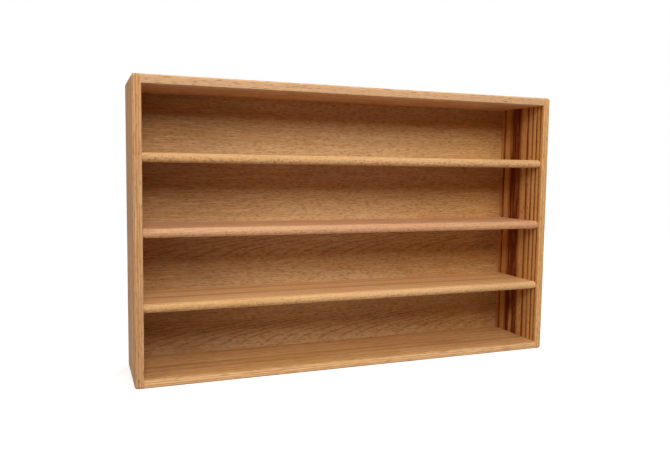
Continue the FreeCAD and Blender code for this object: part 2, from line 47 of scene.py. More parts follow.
# %% Camera from the photograph's viewpoint
PICTURE_WIDTH, PICTURE_HEIGHT = 670, 460
SENSOR_MM = 36.0
FOCAL_PIXELS = 648.455
LENS_MIDDLE_X, LENS_MIDDLE_Y = 324.0, 223.5
CAMERA_PLACE = Vector((-0.6075, -1.4355, 0.4536))
YAW, PITCH, ROLL = math.radians(20.706), math.radians(-4.683), math.radians(0.682)


def aimed_camera():
    """The scene's camera at the photograph's viewpoint."""
    data = bpy.data.cameras.new("photo_camera")
    data.sensor_width = SENSOR_MM
    data.lens = FOCAL_PIXELS * SENSOR_MM / PICTURE_WIDTH
    data.shift_x = (PICTURE_WIDTH / 2 - LENS_MIDDLE_X) / PICTURE_WIDTH
    data.shift_y = (LENS_MIDDLE_Y - PICTURE_HEIGHT / 2) / PICTURE_WIDTH
    ahead = Vector((math.sin(YAW) * math.cos(PITCH), math.cos(YAW) * math.cos(PITCH), math.sin(PITCH)))
    level = Vector((math.cos(YAW), -math.sin(YAW), 0.0))
    over = level.cross(ahead)
    right = math.cos(ROLL) * level + math.sin(ROLL) * over
    up = math.cos(ROLL) * over - math.sin(ROLL) * level
    camera = bpy.data.objects.new("photo_camera", data)
    turned = Matrix((right, up, -ahead)).transposed().to_4x4()
    camera.matrix_world = Matrix.Translation(CAMERA_PLACE) @ turned
    bpy.context.scene.collection.objects.link(camera)
    return camera


bpy.context.scene.camera = aimed_camera()
print("lens", round(bpy.context.scene.camera.data.lens, 2), "mm")

# %% [markdown]
# # Small tools for node trees
# A material is a graph, and a graph is tiresome to write one link at a time. A handful of short helpers
# turn it into something that reads like a sum. `plug` accepts a socket or a plain value, `calc` is one
# Math node and `fade` is a smooth step between two values, which may run either way. `noise` is a cloud
# pattern, `stretched` pulls it long in one direction, `mixed` lays one colour over another, and `split`
# and `join` take a vector apart and put it together.

# %% Helpers that add and connect nodes
def colour(red, green, blue):
    """A colour written in linear light, with its alpha."""
    return (red, green, blue, 1.0)


def add_node(tree, kind, **settings):
    """A new node of that kind with its settings, such as its operation."""
    node = tree.nodes.new(kind)
    for name, value in settings.items():
        setattr(node, name, value)
    return node


def plug(tree, socket, value):
    """Feeds a socket from another socket, or sets it to a plain value."""
    if isinstance(value, bpy.types.NodeSocket):
        tree.links.new(value, socket)
    else:
        socket.default_value = value


def calc(tree, operation, *values):
    """One Math node and its result."""
    node = add_node(tree, "ShaderNodeMath", operation=operation)
    for socket, value in zip(node.inputs, values):
        plug(tree, socket, value)
    return node.outputs[0]


def fade(tree, value, start, end, low=0.0, high=1.0):
    """Goes smoothly from low to high while the value goes from start to end."""
    node = add_node(tree, "ShaderNodeMapRange", interpolation_type="SMOOTHSTEP")
    for socket, number in zip(node.inputs, (value, start, end, low, high)):
        plug(tree, socket, number)
    return node.outputs[0]


def stretched(tree, place, factors, shift=(0.0, 0.0, 0.0)):
    """A place with each of its axes scaled and then shifted."""
    node = add_node(tree, "ShaderNodeVectorMath", operation="MULTIPLY_ADD")
    for socket, vector in zip(node.inputs, (place, factors, shift)):
        plug(tree, socket, vector)
    return node.outputs[0]


def noise(tree, place, detail=1.0, roughness=0.5):
    """A cloud pattern of unit size, as a value around one half and as a colour."""
    node = add_node(tree, "ShaderNodeTexNoise")
    plug(tree, node.inputs["Vector"], place)
    for name, value in (("Scale", 1.0), ("Detail", detail), ("Roughness", roughness)):
        node.inputs[name].default_value = value
    return node.outputs["Fac"], node.outputs["Color"]


def mixed(tree, factor, first, second, mode="MIX"):
    """Two colours mixed."""
    node = add_node(tree, "ShaderNodeMix", data_type="RGBA", blend_type=mode)
    for socket, value in zip((node.inputs[0], node.inputs[6], node.inputs[7]), (factor, first, second)):
        plug(tree, socket, value)
    return node.outputs[2]


def split(tree, vector):
    """The three parts of a vector."""
    node = add_node(tree, "ShaderNodeSeparateXYZ")
    plug(tree, node.inputs[0], vector)
    return node.outputs


def join(tree, x, y, z):
    """A vector of three parts."""
    node = add_node(tree, "ShaderNodeCombineXYZ")
    for socket, value in zip(node.inputs, (x, y, z)):
        plug(tree, socket, value)
    return node.outputs[0]


print("node helpers ready")

# %% [markdown]
# # Groups
# What several materials share, such as the grain, is better built once. A node group is a graph with
# named inputs and outputs, and every material that places it feeds it values of its own. A change in the
# group then reaches all of them.

# %% Helpers that make and place a node group
SOCKETS = {"number": "NodeSocketFloat", "vector": "NodeSocketVector", "colour": "NodeSocketColor"}


def new_group(name, inputs, outputs):
    """A shader group with named inputs and outputs, and the sockets inside it."""
    group = bpy.data.node_groups.new(name, "ShaderNodeTree")
    for label, (kind, value) in inputs.items():
        socket = group.interface.new_socket(label, in_out="INPUT", socket_type=SOCKETS[kind])
        socket.default_value = value
    for label, kind in outputs.items():
        group.interface.new_socket(label, in_out="OUTPUT", socket_type=SOCKETS[kind])
    return group, add_node(group, "NodeGroupInput").outputs, add_node(group, "NodeGroupOutput").inputs


def place_group(tree, group, values):
    """The outputs of a group placed in a tree with its own values."""
    node = add_node(tree, "ShaderNodeGroup", node_tree=group)
    for name, value in values.items():
        plug(tree, node.inputs[name], value)
    return node.outputs


print("group helpers ready")

# %% [markdown]
# # How oak grows
# A tree adds one ring a year. In oak the spring wood of each ring is full of open vessels, drinks up the
# finish and turns dark; the summer wood is dense and stays pale. A board is a slice through those rings,
# so its figure changes from face to face: broad flames where the saw ran along the rings, straight lines
# where it crossed them, arcs on the ends.
#
# A flat picture of grain can't do that. So we grow the wood: a point's distance from the pith, the middle
# of the trunk, divided by the width of a year tells which ring it is in. The pith wanders a little and
# the trunk tapers, which is what draws the flames.

# %% The growth rings as a group
# Boards with other seeds read the noise this far apart, so that no two show the same pattern.
FAR_APART = 17.3
# How often the rings' ripple and the spring wood's strands repeat in a metre, along and across the grain.
RIPPLE_RATES = (9.0, 60.0, 60.0)
STRAND_RATES = (3.5, 190.0, 190.0)
# The spring wood starts to pale at the first of these shares of its width and is gone at the second.
SPRING_FADE = (0.4, 1.7)
# The next spring wood sets in at this share of the year.
SPRING_ONSET = 0.93


def growth_rings():
    """Tells for a place around the pith how much spring wood is there."""
    group, given, made = new_group(
        "oak_growth_rings",
        {
            "Place": ("vector", (0.0, 0.0, 0.0)),
            "Year Width": ("number", 0.006),
            "Taper": ("number", 0.0),
            "Drift": ("number", 0.0),
            "Wander": ("number", 0.001),
            "Wander Length": ("number", 0.35),
            "Unevenness": ("number", 0.3),
            "Spring Share": ("number", 0.3),
            "Strand Floor": ("number", 0.55),
            "Seed": ("number", 0.0),
        },
        {"Spring Wood": "number", "Year Tone": "number", "Radius": "number", "Turn": "number"},
    )
    along, across, through = split(group, given["Place"])
    apart = calc(group, "MULTIPLY", given["Seed"], FAR_APART)
    walk = calc(group, "DIVIDE", along, given["Wander Length"])
    bends = split(group, noise(group, join(group, walk, apart, 0.0), detail=2.0)[1])

    def wandered(side, bend, slope):
        """A distance from the pith, leant along the board by a slope and bent by noise."""
        offset = calc(group, "MULTIPLY", calc(group, "SUBTRACT", bend, 0.5), given["Wander"])
        leant = calc(group, "MULTIPLY_ADD", along, slope, side)
        return calc(group, "MULTIPLY_ADD", offset, 2.0, leant)

    across = wandered(across, bends[0], given["Drift"])
    through = wandered(through, bends[1], given["Taper"])
    rippled_place = stretched(group, given["Place"], RIPPLE_RATES, join(group, 0.0, apart, 0.0))
    ripple = calc(group, "SUBTRACT", noise(group, rippled_place)[0], 0.5)
    squares = calc(group, "ADD", calc(group, "POWER", across, 2.0), calc(group, "POWER", through, 2.0))
    radius = calc(group, "MULTIPLY_ADD", ripple, given["Wander"], calc(group, "SQRT", squares))

    years = calc(group, "DIVIDE", radius, given["Year Width"])
    seasons = noise(group, join(group, years, apart, 0.0), detail=0.0)[0]
    uneven = calc(group, "MULTIPLY", calc(group, "SUBTRACT", seasons, 0.5), given["Unevenness"])
    years = calc(group, "MULTIPLY_ADD", uneven, 2.0, years)
    season = calc(group, "FRACT", years)
    spring_start = calc(group, "MULTIPLY", given["Spring Share"], SPRING_FADE[0])
    spring_end = calc(group, "MULTIPLY", given["Spring Share"], SPRING_FADE[1])
    spring = fade(group, season, spring_start, spring_end, 1.0, 0.0)
    onset = fade(group, season, SPRING_ONSET, 1.0)
    strand_place = stretched(group, given["Place"], STRAND_RATES, join(group, apart, 0.0, 0.0))
    strands = fade(group, noise(group, strand_place, 3.0, 0.65)[0], 0.34, 0.5, given["Strand Floor"], 1.0)
    chance = add_node(group, "ShaderNodeTexWhiteNoise", noise_dimensions="1D")
    plug(group, chance.inputs["W"], calc(group, "ADD", calc(group, "ROUND", years), apart))

    plug(group, made["Spring Wood"], calc(group, "MULTIPLY", calc(group, "MAXIMUM", spring, onset), strands))
    plug(group, made["Year Tone"], chance.outputs["Value"])
    plug(group, made["Radius"], radius)
    plug(group, made["Turn"], calc(group, "ARCTAN2", across, through))
    return group


GROWTH = growth_rings()
print(GROWTH.name, "has", len(GROWTH.nodes), "nodes")

# %% [markdown]
# # Vessels, dashes and flecks
# Close up, oak is a rain of short dark strokes that all run along the grain: vessels cut open by the
# plane. They come in several sizes, from hairlines to marks as long as a finger, and only their length,
# width and number differ. One group with those inputs draws them all: noise pulled long in the grain's
# direction, of which only the highest peaks are kept.

# %% Strokes along the grain as a group
# The least noise that counts as a stroke, for an amount of nought and of one.
STROKE_LEAST = (0.72, 0.4)


def grain_strokes():
    """Short strokes along the grain, of a given length, width and number."""
    group, given, made = new_group(
        "oak_grain_strokes",
        {
            "Place": ("vector", (0.0, 0.0, 0.0)),
            "Length": ("number", 0.02),
            "Width": ("number", 0.0008),
            "Amount": ("number", 0.4),
            "Softness": ("number", 0.12),
            "Seed": ("number", 0.0),
        },
        {"Strokes": "number"},
    )
    wide = calc(group, "DIVIDE", 1.0, given["Width"])
    factors = join(group, calc(group, "DIVIDE", 1.0, given["Length"]), wide, wide)
    apart = calc(group, "MULTIPLY", given["Seed"], FAR_APART)
    stroke_place = stretched(group, given["Place"], factors, join(group, apart, apart, 0.0))
    cloud = noise(group, stroke_place, detail=1.5)[0]
    least = fade(group, given["Amount"], 0.0, 1.0, *STROKE_LEAST)
    plug(group, made["Strokes"], fade(group, cloud, least, calc(group, "ADD", least, given["Softness"])))
    return group


STROKES = grain_strokes()
print(STROKES.name, "has", len(STROKES.nodes), "nodes")

# %% [markdown]
# # Rays
# Oak also has rays: thin sheets that stand like the spokes of a wheel. Cut across, as on a flat-sawn face,
# each is a short dark line; cut along, as on a quartered edge, it is a pale shiny flake. The ring group
# already knows the radius and the turn around the pith, and those two plus the place along the grain are
# the natural axes of a ray: long, deep and very thin.

# %% Rays around the pith as a group
# The least noise that counts as a ray, for an amount of nought and of one, and how softly it sets in.
RAY_LEAST = (0.74, 0.45)
RAY_SOFTNESS = 0.1
# A ray reaches this many times farther out from the pith than it is high.
RAY_REACH = 1.4


def ray_flakes():
    """The sheets of ray cells, thin in the direction around the pith."""
    group, given, made = new_group(
        "oak_rays",
        {
            "Place": ("vector", (0.0, 0.0, 0.0)),
            "Radius": ("number", 0.1),
            "Turn": ("number", 0.0),
            "Height": ("number", 0.012),
            "Thickness": ("number", 0.0009),
            "Amount": ("number", 0.4),
        },
        {"Rays": "number"},
    )
    along = split(group, given["Place"])[0]
    arc = calc(group, "MULTIPLY", given["Turn"], given["Radius"])
    around = calc(group, "DIVIDE", arc, given["Thickness"])
    outwards = calc(group, "DIVIDE", given["Radius"], calc(group, "MULTIPLY", given["Height"], RAY_REACH))
    cloud = noise(group, join(group, calc(group, "DIVIDE", along, given["Height"]), around, outwards))[0]
    least = fade(group, given["Amount"], 0.0, 1.0, *RAY_LEAST)
    plug(group, made["Rays"], fade(group, cloud, least, calc(group, "ADD", least, RAY_SOFTNESS)))
    return group


RAYS = ray_flakes()
print(RAYS.name, "has", len(RAYS.nodes), "nodes")

# %% [markdown]
# # Rubbed arrises
# Sandpaper and hands thin the finish on every sharp edge, which then shows a little paler. An edge of a
# board is where two of its six faces are both near. So from the distances to the nearest face in x, y and
# z, the middle one of the three says how far the nearest edge is. That needs only the board's box, which
# its points give.

# %% Wear along the edges as a group
WEAR_PATCH_RATES = (45.0, 45.0, 45.0)


def rubbed_edges():
    """Marks the edges of a box-shaped board, broken up by noise."""
    group, given, made = new_group(
        "rubbed_edges",
        {
            "Place": ("vector", (0.0, 0.0, 0.0)),
            "Low Corner": ("vector", (0.0, 0.0, 0.0)),
            "High Corner": ("vector", (1.0, 1.0, 1.0)),
            "Reach": ("number", 0.004),
        },
        {"Wear": "number"},
    )

    def compared(operation, first, second):
        """Two places subtracted, or the lower of two, axis by axis."""
        node = add_node(group, "ShaderNodeVectorMath", operation=operation)
        plug(group, node.inputs[0], first)
        plug(group, node.inputs[1], second)
        return node.outputs[0]

    from_low = compared("SUBTRACT", given["Place"], given["Low Corner"])
    from_high = compared("SUBTRACT", given["High Corner"], given["Place"])
    x, y, z = split(group, compared("MINIMUM", from_low, from_high))
    total = calc(group, "ADD", calc(group, "ADD", x, y), z)
    least = calc(group, "MINIMUM", calc(group, "MINIMUM", x, y), z)
    most = calc(group, "MAXIMUM", calc(group, "MAXIMUM", x, y), z)
    edge = calc(group, "SUBTRACT", calc(group, "SUBTRACT", total, least), most)
    band = fade(group, edge, 0.0, given["Reach"], 1.0, 0.0)
    patches = noise(group, stretched(group, given["Place"], WEAR_PATCH_RATES), detail=2.0)[0]
    plug(group, made["Wear"], calc(group, "MULTIPLY", band, fade(group, patches, 0.38, 0.66)))
    return group


WEAR = rubbed_edges()
print(WEAR.name, "has", len(WEAR.nodes), "nodes")

# %% [markdown]
# # The oak itself
# Now the rings, the strokes and the rays come together in one more group: a lacquered oak surface, with
# the rubbed edges as an input. It has many inputs, because every board is another piece of wood, but each
# has a plain value to start from and a board names only what is its own.
#
# The edge of a board takes the finish differently from its face: a planed face drinks it in along the
# spring wood, while a sanded edge closes up. So where the surface looks to the front, `Edge Calm` lowers the
# contrast, or raises it where it is below nought, and `Edge Bleach` turns it toward the colour of bare oak.
# Another input makes the front faces paler or darker than the rest of the board: that is painted light and
# shade, for the way the light falls on them. One material then serves the whole board.

# %% Inputs of the oak group
OAK_INPUTS = {
    "Place": ("vector", (0.0, 0.0, 0.0)),
    "Year Width": ("number", 0.006),
    "Taper": ("number", 0.0),
    "Drift": ("number", 0.0),
    "Wander": ("number", 0.001),
    "Wander Length": ("number", 0.35),
    "Unevenness": ("number", 0.3),
    "Spring Share": ("number", 0.3),
    "Strand Floor": ("number", 0.55),
    "Spring Depth": ("number", 0.5),
    "Edge Calm": ("number", 0.3),
    # Paints light and shade on the faces that look to the front: paler above nought, darker below nought.
    "Edge Lift": ("number", 0.0),
    "Edge Bleach": ("number", 0.0),
    "Dash Length": ("number", 0.02),
    "Dash Width": ("number", 0.0014),
    "Dash Amount": ("number", 0.3),
    "Dash Depth": ("number", 0.5),
    "Pale Dash Depth": ("number", 0.2),
    "Speckle Amount": ("number", 0.0),
    "Speckle Depth": ("number", 0.5),
    "Ray Amount": ("number", 0.3),
    "Ray Depth": ("number", 0.2),
    "Base Roughness": ("number", 0.5),
    "Wear": ("number", 0.0),
    "Pale": ("colour", colour(0.62, 0.36, 0.18)),
    "Warm": ("colour", colour(0.55, 0.29, 0.13)),
    "Spring": ("colour", colour(0.2, 0.07, 0.02)),
    "Seed": ("number", 0.0),
}


print("the oak group has", len(OAK_INPUTS), "inputs")

# %% [markdown]
# # The marks of oak
# Five kinds of marks are placed from the groups above. Hairs are single vessels. Dark dashes are dense
# clusters of them, and the longer pale dashes are streaks of summer wood between them. Speckles are
# vessels cut open slantwise, short and wide. Rays come last.

# %% The marks of oak
HAIRS = {"Length": 0.014, "Width": 0.00045, "Amount": 0.55}
SPECKLES = {"Length": 0.007, "Width": 0.003}
# How many times `Dash Length` a dark dash and a pale one are long.
DARK_DASH, PALE_DASH = 0.6, 3.0
PALE_DASH_SEED = 0.37
RING_INPUTS = (
    "Year Width",
    "Taper",
    "Drift",
    "Wander",
    "Wander Length",
    "Unevenness",
    "Spring Share",
    "Strand Floor",
)


def oak_marks(group, given):
    """The rings' outputs, and the masks of the strokes and rays by name."""
    shared = {"Place": given["Place"], "Seed": given["Seed"]}
    rings = place_group(group, GROWTH, {**shared, **{name: given[name] for name in RING_INPUTS}})
    dash = {**shared, "Width": given["Dash Width"], "Amount": given["Dash Amount"]}
    dark_length = calc(group, "MULTIPLY", given["Dash Length"], DARK_DASH)
    pale_length = calc(group, "MULTIPLY", given["Dash Length"], PALE_DASH)
    pale_seed = calc(group, "ADD", given["Seed"], PALE_DASH_SEED)
    strokes = {
        "hairs": {**shared, **HAIRS},
        "dashes": {**dash, "Length": dark_length},
        "pale dashes": {**dash, "Length": pale_length, "Seed": pale_seed},
        "speckles": {**shared, **SPECKLES, "Amount": given["Speckle Amount"]},
    }
    masks = {name: place_group(group, STROKES, values)["Strokes"] for name, values in strokes.items()}
    ray = {"Place": given["Place"], "Radius": rings["Radius"], "Turn": rings["Turn"]}
    masks["rays"] = place_group(group, RAYS, {**ray, "Amount": given["Ray Amount"]})["Rays"]
    return rings, masks


print("hairs are", HAIRS["Width"] * 1000, "mm wide and speckles", SPECKLES["Width"] * 1000, "mm")

# %% [markdown]
# # Colour, roughness and relief
# The ground is summer wood, with broad streaks that drift between two tones as in any plank. The marks
# are laid over it one after another, like coats of paint, so they are a list of masks and tints and a
# loop. On a round nose the speckles are drawn deeper where the surface faces down: the vessels are grain,
# but that extra depth on the lower half is painted shade.
#
# Open vessels are grooves that the lacquer sinks into, so the same masks give the height for the bump and
# a rougher surface. The wide marks aren't wide grooves but clusters of thin ones. At full height they look
# like grey dents, so they count for a quarter.

# %% Lacquered oak as a group
BARE_OAK = colour(0.85, 0.62, 0.38)
# How often the broad streaks and the fibres repeat in a metre, along the grain and across it.
STREAK_RATES = (2.2, 34.0, 34.0)
FIBRE_RATES = (30.0, 900.0, 900.0)
HAIR_DEPTH = 0.4
CLUSTER_HEIGHT = 0.25
WORN_COLOUR, WORN_ROUGHNESS = 0.35, 0.12


def lacquered_oak():
    """Colour, roughness and height of oak at a place around its pith."""
    group, given, made = new_group(
        "lacquered_oak", OAK_INPUTS, {"Color": "colour", "Roughness": "number", "Height": "number"}
    )
    rings, masks = oak_marks(group, given)
    apart = calc(group, "MULTIPLY", given["Seed"], FAR_APART)
    streaked_place = stretched(group, given["Place"], STREAK_RATES, join(group, 0.0, 0.0, apart))
    streaks = noise(group, streaked_place, 3.0)[0]
    fibres = noise(group, stretched(group, given["Place"], FIBRE_RATES), 2.0)[0]

    facing = split(group, add_node(group, "ShaderNodeNewGeometry").outputs["Normal"])
    edge_on = fade(group, calc(group, "ABSOLUTE", facing[1]), 0.5, 0.95)
    # Painted shade: the speckles grow deeper where the surface faces down.
    painted_shade_below = fade(group, facing[2], 0.6, -0.5, 0.35, 1.0)
    calm = calc(group, "SUBTRACT", 1.0, calc(group, "MULTIPLY", edge_on, given["Edge Calm"]))

    year_strength = calc(group, "MULTIPLY_ADD", rings["Year Tone"], 0.25, 0.75)
    depth = calc(group, "MULTIPLY", calc(group, "MULTIPLY", given["Spring Depth"], year_strength), calm)
    spring = calc(group, "MULTIPLY", rings["Spring Wood"], depth)
    in_spring = calc(group, "MULTIPLY_ADD", rings["Spring Wood"], 0.7, 0.3)
    hair_depth = calc(group, "MULTIPLY", calc(group, "MULTIPLY", masks["hairs"], in_spring), HAIR_DEPTH)
    dash_depth = calc(group, "MULTIPLY", masks["dashes"], given["Dash Depth"])
    speckle_most = calc(group, "MULTIPLY", given["Speckle Depth"], painted_shade_below)
    speckle_depth = calc(group, "MULTIPLY", masks["speckles"], speckle_most)
    bright = mixed(group, 0.4, given["Pale"], BARE_OAK)
    coats = (
        (calc(group, "MULTIPLY", edge_on, given["Edge Bleach"]), bright),
        (spring, given["Spring"]),
        (hair_depth, given["Spring"]),
        (calc(group, "MULTIPLY", masks["pale dashes"], given["Pale Dash Depth"]), bright),
        (dash_depth, given["Spring"]),
        (speckle_depth, given["Spring"]),
        (calc(group, "MULTIPLY", masks["rays"], given["Ray Depth"]), bright),
    )
    warmth = calc(group, "MULTIPLY_ADD", rings["Year Tone"], 0.3, fade(group, streaks, 0.3, 0.7, 0.0, 0.7))
    wood = mixed(group, warmth, given["Pale"], given["Warm"])
    for mask, tint in coats:
        wood = mixed(group, mask, wood, tint)
    # Painted light and shade on the faces that look to the front.
    painted_edge_light = calc(group, "MULTIPLY_ADD", edge_on, given["Edge Lift"], 1.0)
    fine = calc(group, "MULTIPLY", fade(group, fibres, 0.2, 0.8, 0.9, 1.08), painted_edge_light)
    wood = mixed(group, 1.0, wood, join(group, fine, fine, fine), "MULTIPLY")
    wood = mixed(group, calc(group, "MULTIPLY", given["Wear"], WORN_COLOUR), wood, bright)
    plug(group, made["Color"], wood)

    deepest = calc(group, "MAXIMUM", dash_depth, speckle_depth)
    open_grain = calc(group, "MAXIMUM", hair_depth, calc(group, "MULTIPLY", deepest, CLUSTER_HEIGHT))
    cloudy = calc(group, "ADD", given["Base Roughness"], fade(group, streaks, 0.3, 0.7, -0.03, 0.06))
    rough = calc(group, "MULTIPLY_ADD", open_grain, 0.25, cloudy)
    plug(group, made["Roughness"], calc(group, "MULTIPLY_ADD", given["Wear"], WORN_ROUGHNESS, rough))
    height = calc(group, "MULTIPLY_ADD", open_grain, -0.7, calc(group, "MULTIPLY", spring, -0.3))
    plug(group, made["Height"], calc(group, "MULTIPLY_ADD", fibres, 0.15, height))
    return group


OAK = lacquered_oak()
print(OAK.name, "has", len(OAK.nodes), "nodes")

# %% [markdown]
# # One material for each board
# Boards from different planks never match, and in the photograph they don't: the middle shelf is pinker,
# the lower one more yellow, the right side has bold dark flames and the back is a calm sheet of veneer. So
# every board gets a material of its own, made by one function from a short list of facts: which way the
# grain runs, where the pith lay, and how strong each mark is.
#
# The pith is given in the cabinet's own metres, so that the figure on the face, the edge and the end of a
# board belong together, as on real timber.

# %% The function that turns facts into a board's material
GROOVE_DEPTH = 0.0002
BUMP_STRENGTH = 0.6
LACQUER_IOR = 1.5


def new_material(name):
    """A material, its tree and its Principled shader."""
    material = bpy.data.materials.new(name)
    material.use_nodes = True
    return material, material.node_tree, material.node_tree.nodes["Principled BSDF"]


def raise_relief(tree, shader, height, depth, strength=1.0):
    """Turns a height into the shader's normal, as relief of that depth in metres."""
    bump = add_node(tree, "ShaderNodeBump")
    bump.inputs["Strength"].default_value = strength
    bump.inputs["Distance"].default_value = depth
    plug(tree, bump.inputs["Height"], height)
    plug(tree, shader.inputs["Normal"], bump.outputs[0])


def board_place(tree, grain, pith):
    """The place around the pith, with x along the grain, from the place in the cabinet."""
    coordinates = add_node(tree, "ShaderNodeTexCoord").outputs["Object"]
    turned = add_node(tree, "ShaderNodeMapping", vector_type="POINT")
    plug(tree, turned.inputs["Vector"], coordinates)
    if grain == "upright":
        turned.inputs["Rotation"].default_value = (0.0, math.pi / 2, 0.0)
        turned.inputs["Location"].default_value = (0.0, -pith[1], pith[0])
    else:
        turned.inputs["Location"].default_value = (0.0, -pith[0], -pith[1])
    return coordinates, turned.outputs[0]


def oak_material(name, node, grain, pith, gloss=0.07, **figure):
    """The oak of one board; the figure's words are the inputs of the oak group."""
    material, tree, shader = new_material(name)
    coordinates, place = board_place(tree, grain, pith)
    low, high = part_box(node)
    wear = place_group(tree, WEAR, {"Place": coordinates, "Low Corner": low, "High Corner": high})
    values = {key.replace("_", " ").title(): value for key, value in figure.items()}
    oak = place_group(tree, OAK, {"Place": place, "Wear": wear["Wear"], **values})
    plug(tree, shader.inputs["Base Color"], oak["Color"])
    plug(tree, shader.inputs["Roughness"], oak["Roughness"])
    raise_relief(tree, shader, oak["Height"], GROOVE_DEPTH, BUMP_STRENGTH)
    shader.inputs["Specular IOR Level"].default_value = gloss
    shader.inputs["IOR"].default_value = LACQUER_IOR
    return material


def oak_of(material):
    """A material's tree, its oak group, and the three parts of the place that feeds the group."""
    tree = material.node_tree
    oak = next(node for node in tree.nodes if node.type == "GROUP" and node.node_tree == OAK)
    return tree, oak, split(tree, oak.inputs["Place"].links[0].from_socket)


def dress(node, material):
    """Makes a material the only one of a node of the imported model."""
    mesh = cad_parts[node].data
    mesh.materials.clear()
    mesh.materials.append(material)


print("grooves are", GROOVE_DEPTH * 1000, "mm deep")

# %% [markdown]
# # The two sides
# Both sides are flat-sawn boards standing on end. The inner face of the right one is the boldest wood of
# the cabinet: a broad dark flame toward the rear and four narrow lines toward the front. Lines that far
# apart on a face only come from rings that it nearly follows, so the pith lay some 200 mm away, level with
# the flame.
#
# Straight rings would also stripe the outer face like a mattress. Trees are rarely that regular: toward
# the outer face a slow noise bends the rings, so that their lines part and close again along the board.

# %% Oak of the right side
YEAR_WIDTH = 0.0055
PITH_DISTANCE = 36 * YEAR_WIDTH
FLAME_MIDDLE = 0.019
# The straight figure of the inner face loosens between these two depths under it.
LOOSENS_FROM, LOOSENS_TO = 0.004, 0.018
# The bend's size, how often it repeats in a metre along and across the grain, and where its noise starts.
BEND = 0.022
BEND_RATES = (2.6, 5.0, 1.0)
BEND_START = (3.3, 0.0, 0.0)
INNER_SPRING_DEPTH, OUTER_SPRING_DEPTH = 1.15, 0.6
inner_left, inner_right = (corner.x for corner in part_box("top_panel"))


def right_side_material():
    """The right side's oak, whose figure loosens from the inner face to the outer one."""
    material = oak_material(
        "oak_right_side",
        "right_side",
        "upright",
        (inner_right + PITH_DISTANCE, FLAME_MIDDLE),
        gloss=0.03,
        year_width=YEAR_WIDTH,
        taper=0.0006,
        wander=0.0006,
        wander_length=0.16,
        unevenness=0.08,
        spring_share=0.28,
        strand_floor=0.65,
        edge_calm=0.7,
        # A little painted light on the front edge.
        edge_lift=0.04,
        edge_bleach=0.5,
        dash_width=0.0026,
        dash_amount=0.5,
        dash_depth=0.45,
        pale_dash_depth=0.35,
        ray_amount=0.2,
        pale=colour(0.72, 0.37, 0.125),
        warm=colour(0.61, 0.275, 0.07),
        spring=colour(0.165, 0.028, 0.002),
        seed=1.0,
    )
    tree, oak, (along, across, through) = oak_of(material)
    outward = fade(tree, through, PITH_DISTANCE - LOOSENS_FROM, PITH_DISTANCE - LOOSENS_TO)
    slow_place = stretched(tree, join(tree, along, across, 0.0), BEND_RATES, BEND_START)
    slow = calc(tree, "SUBTRACT", noise(tree, slow_place)[0], 0.5)
    bend = calc(tree, "MULTIPLY", calc(tree, "MULTIPLY", slow, outward), BEND)
    plug(tree, oak.inputs["Place"], join(tree, along, across, calc(tree, "ADD", through, bend)))
    fainter = OUTER_SPRING_DEPTH - INNER_SPRING_DEPTH
    plug(tree, oak.inputs["Spring Depth"], calc(tree, "MULTIPLY_ADD", outward, fainter, INNER_SPRING_DEPTH))
    return material


dress("right_side", right_side_material())
print("right side dressed, its pith", round(PITH_DISTANCE, 3), "m from the inner face")

# %% Oak of the left side
dress(
    "left_side",
    oak_material(
        "oak_left_side",
        "left_side",
        "upright",
        (inner_left - 0.14, -0.03),
        gloss=0.03,
        base_roughness=0.6,
        year_width=0.0052,
        taper=0.001,
        wander=0.001,
        spring_share=0.28,
        spring_depth=0.7,
        edge_calm=0.3,
        dash_length=0.03,
        dash_width=0.0026,
        dash_amount=0.5,
        dash_depth=0.5,
        pale_dash_depth=0.5,
        ray_amount=0.3,
        pale=colour(0.69, 0.375, 0.175),
        warm=colour(0.62, 0.305, 0.125),
        spring=colour(0.25, 0.095, 0.035),
        seed=2.0,
    ),
)
print("left side dressed")
